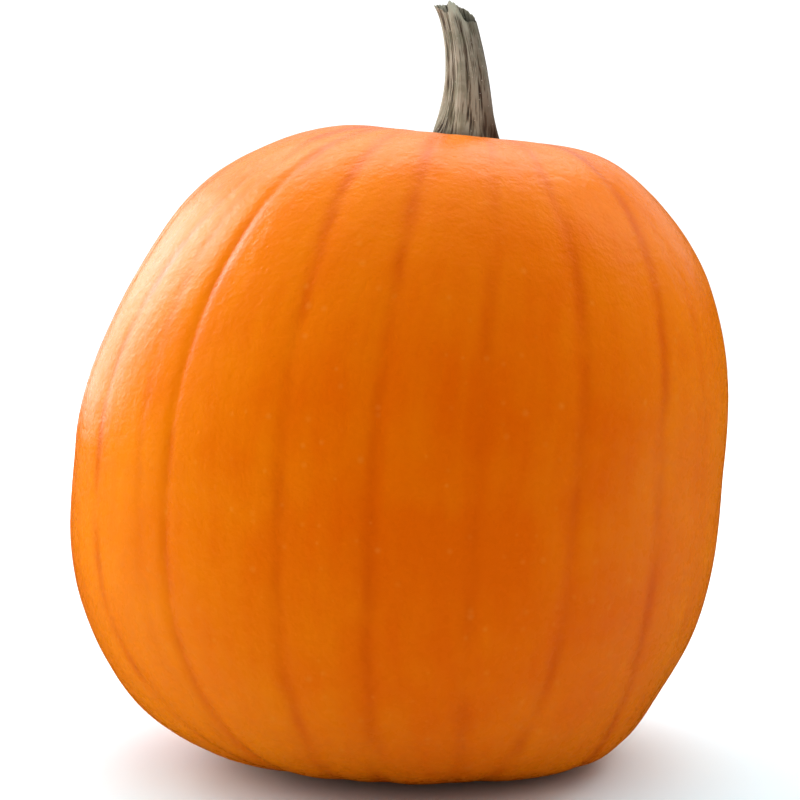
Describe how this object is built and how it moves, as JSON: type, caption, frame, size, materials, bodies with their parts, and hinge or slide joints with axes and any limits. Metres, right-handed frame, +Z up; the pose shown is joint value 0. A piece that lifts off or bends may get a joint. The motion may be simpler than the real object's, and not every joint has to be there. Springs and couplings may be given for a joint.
{
  "type": "pumpkin",
  "caption": "Whole ripe orange pumpkin with soft vertical ribs and a dry ridged stem, standing on a small flat spot; for food, autumn and market scenes.",
  "frame": {"origin": "on the surface that the pumpkin stands on, under the middle of the fruit", "axes": "+Z up, and the side that the picture shows faces -Y"},
  "size_m": [0.2984, 0.2922, 0.3438],
  "materials": {
    "rind": "satin, waxy, finely pored",
    "dry_stem": "dry, fibrous, ridged"
  },
  "bodies": {
    "root": {"fruit": "rind", "stem": "dry_stem"}
  },
  "joints": []
}
